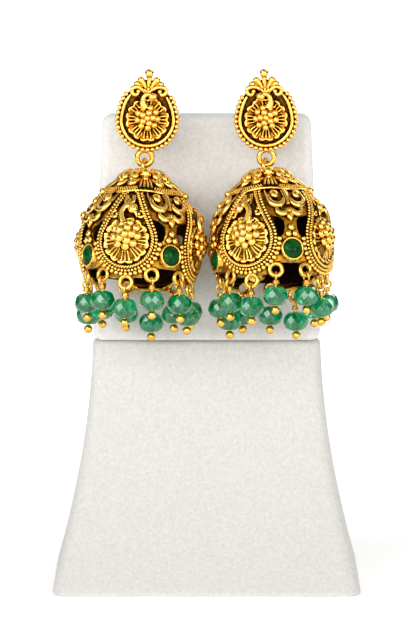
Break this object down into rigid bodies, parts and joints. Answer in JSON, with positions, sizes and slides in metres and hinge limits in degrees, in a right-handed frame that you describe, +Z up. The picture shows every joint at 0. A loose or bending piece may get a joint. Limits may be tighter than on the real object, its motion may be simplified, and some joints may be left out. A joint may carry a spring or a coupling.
{
  "type": "pair of jhumka earrings on a display stand",
  "caption": "Pair of antique gold jhumka earrings with pierced bell drops, green cabochons and green bead fringes, on an off-white suede display stand.",
  "frame": {"origin": "on the table, under the middle of the stand's base", "axes": "+Z up; the stand's front and the earrings face -Y; +X to the viewer's right"},
  "size_m": [0.0718, 0.0603, 0.1217],
  "materials": {
    "suede": "matte off-white suede",
    "antique_gold": "antique gold plate, oxidised dark in its recesses",
    "polished_gold": "polished gold plate",
    "emerald_glass": "polished green glass cabochon",
    "green_bead": "faceted milky green glass"
  },
  "bodies": {
    "stand": {"stand_base": "suede", "stand_panel": "suede", "left_stud": "antique_gold", "left_clutch": "polished_gold", "right_stud": "antique_gold", "right_clutch": "polished_gold"},
    "left_drop": {"left_bell": "antique_gold", "left_stones": "emerald_glass", "left_pins": "polished_gold", "left_bead_01": "green_bead", "left_bead_02": "green_bead", "left_bead_03": "green_bead", "left_bead_04": "green_bead", "left_bead_05": "green_bead", "left_bead_06": "green_bead", "left_bead_07": "green_bead", "left_bead_08": "green_bead", "left_bead_09": "green_bead", "left_bead_10": "green_bead", "left_bead_11": "green_bead", "left_bead_12": "green_bead"},
    "right_drop": {"right_bell": "antique_gold", "right_stones": "emerald_glass", "right_pins": "polished_gold", "right_bead_01": "green_bead", "right_bead_02": "green_bead", "right_bead_03": "green_bead", "right_bead_04": "green_bead", "right_bead_05": "green_bead", "right_bead_06": "green_bead", "right_bead_07": "green_bead", "right_bead_08": "green_bead", "right_bead_09": "green_bead", "right_bead_10": "green_bead", "right_bead_11": "green_bead", "right_bead_12": "green_bead"}
  },
  "joints": [
    {"name": "left_bell_swing", "type": "hinge", "parent": "stand", "child": "left_drop", "pos_m": [-0.0146, -0.00762, 0.09918], "axis": [-1, 0, 0], "range_deg": [0, 40]},
    {"name": "right_bell_swing", "type": "hinge", "parent": "stand", "child": "right_drop", "pos_m": [0.0141, -0.00666, 0.09918], "axis": [-1, 0, 0], "range_deg": [0, 40]}
  ]
}
